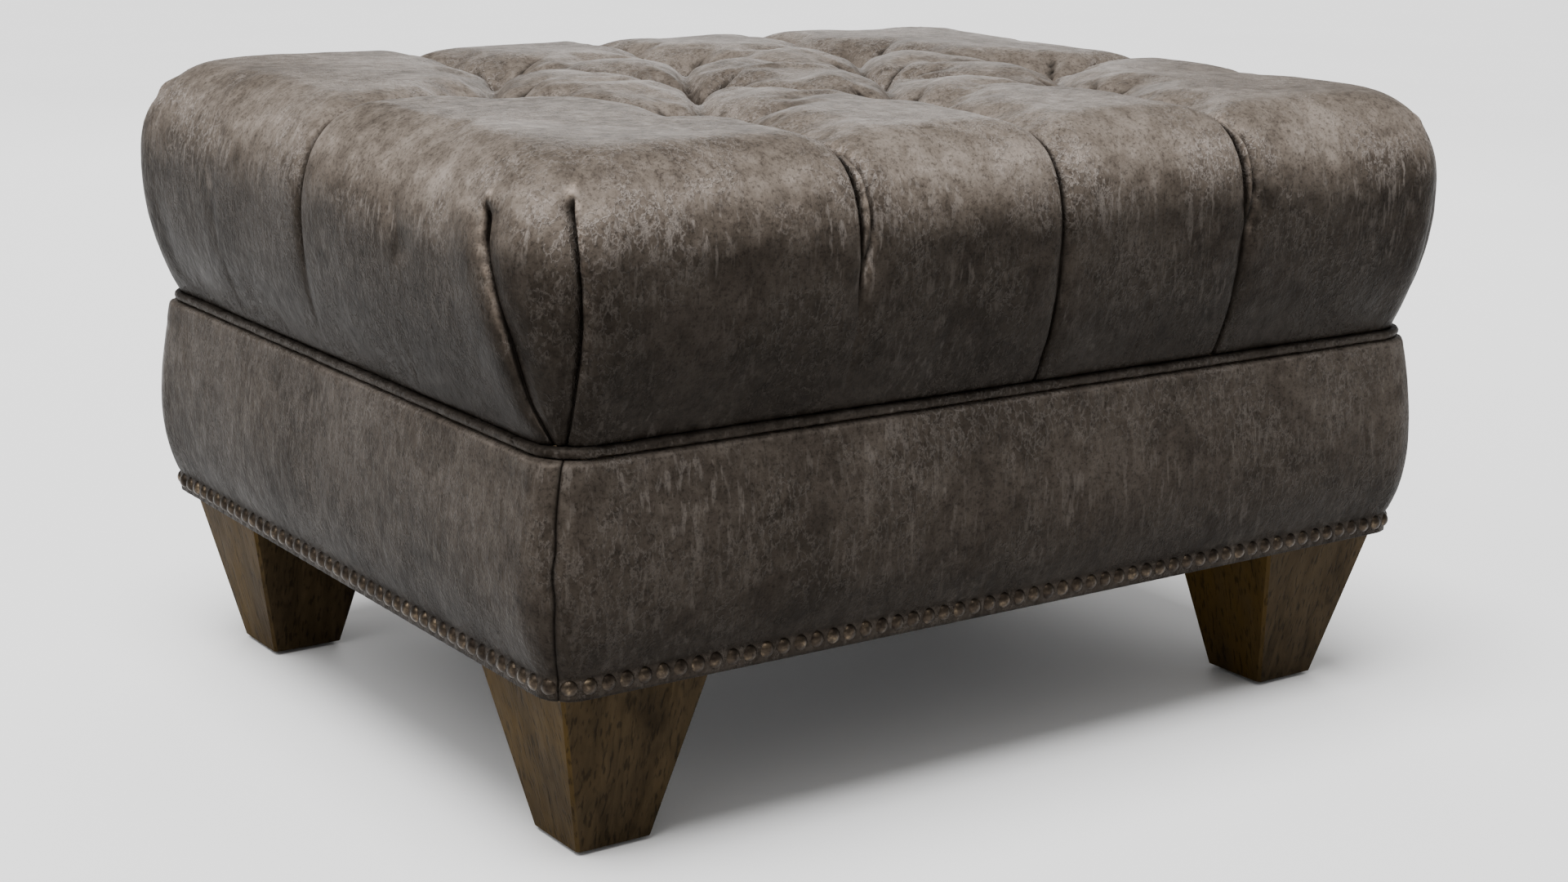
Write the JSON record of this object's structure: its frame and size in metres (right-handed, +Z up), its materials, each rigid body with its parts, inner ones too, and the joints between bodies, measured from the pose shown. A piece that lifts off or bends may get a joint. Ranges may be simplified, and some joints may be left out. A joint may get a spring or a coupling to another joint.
{
  "type": "tufted leather ottoman",
  "caption": "Rectangular ottoman with a deep tufted leather cushion over a padded leather band edged with domed nails, on square tapered wooden legs.",
  "frame": {"origin": "on the floor, under the middle of the ottoman", "axes": "+X along the long side to the right, +Y from the front to the back, +Z up"},
  "size_m": [0.788, 0.64, 0.4593],
  "materials": {
    "leg_wood": "dark walnut stain, satin lacquer",
    "glide_nylon": "moulded nylon",
    "zinc_steel": "zinc plated",
    "frame_wood": "planed softwood, unfinished",
    "deck_plywood": "sanded plywood",
    "black_cambric": "non-woven cambric",
    "polyester_fibre": "bonded fibre wadding",
    "foam": "open cell foam",
    "tack_card": "pressed card",
    "band_leather": "distressed pull-up leather, satin",
    "cushion_leather": "distressed pull-up leather, satin",
    "welt_leather": "distressed pull-up leather, satin",
    "button_leather": "distressed pull-up leather, satin",
    "antique_brass": "antiqued, dark bronze with rubbed tops",
    "waxed_twine": "waxed flax twine",
    "washer_fibre": "vulcanised fibre"
  },
  "bodies": {
    "root": {"leg_front_left": "leg_wood", "leg_front_right": "leg_wood", "leg_back_left": "leg_wood", "leg_back_right": "leg_wood", "leg_glides": "glide_nylon", "hanger_bolts": "zinc_steel", "tee_nuts": "zinc_steel", "front_rail": "frame_wood", "back_rail": "frame_wood", "left_rail": "frame_wood", "right_rail": "frame_wood", "cross_rail_left": "frame_wood", "cross_rail_right": "frame_wood", "block_front_left": "frame_wood", "block_front_right": "frame_wood", "block_back_left": "frame_wood", "block_back_right": "frame_wood", "frame_screws": "zinc_steel", "deck_board": "deck_plywood", "deck_screws": "zinc_steel", "dust_cover": "black_cambric", "dust_cover_staples": "zinc_steel", "band_padding": "polyester_fibre", "tack_strip": "tack_card", "front_band": "band_leather", "back_band": "band_leather", "left_band": "band_leather", "right_band": "band_leather", "nails_front": "antique_brass", "nails_back": "antique_brass", "nails_left": "antique_brass", "nails_right": "antique_brass", "welt_cord": "welt_leather", "foam_core": "foam", "fibre_wrap": "polyester_fibre", "tufted_cover": "cushion_leather", "tuft_buttons": "button_leather", "tufting_twine": "waxed_twine", "twine_washers": "washer_fibre"}
  },
  "joints": []
}
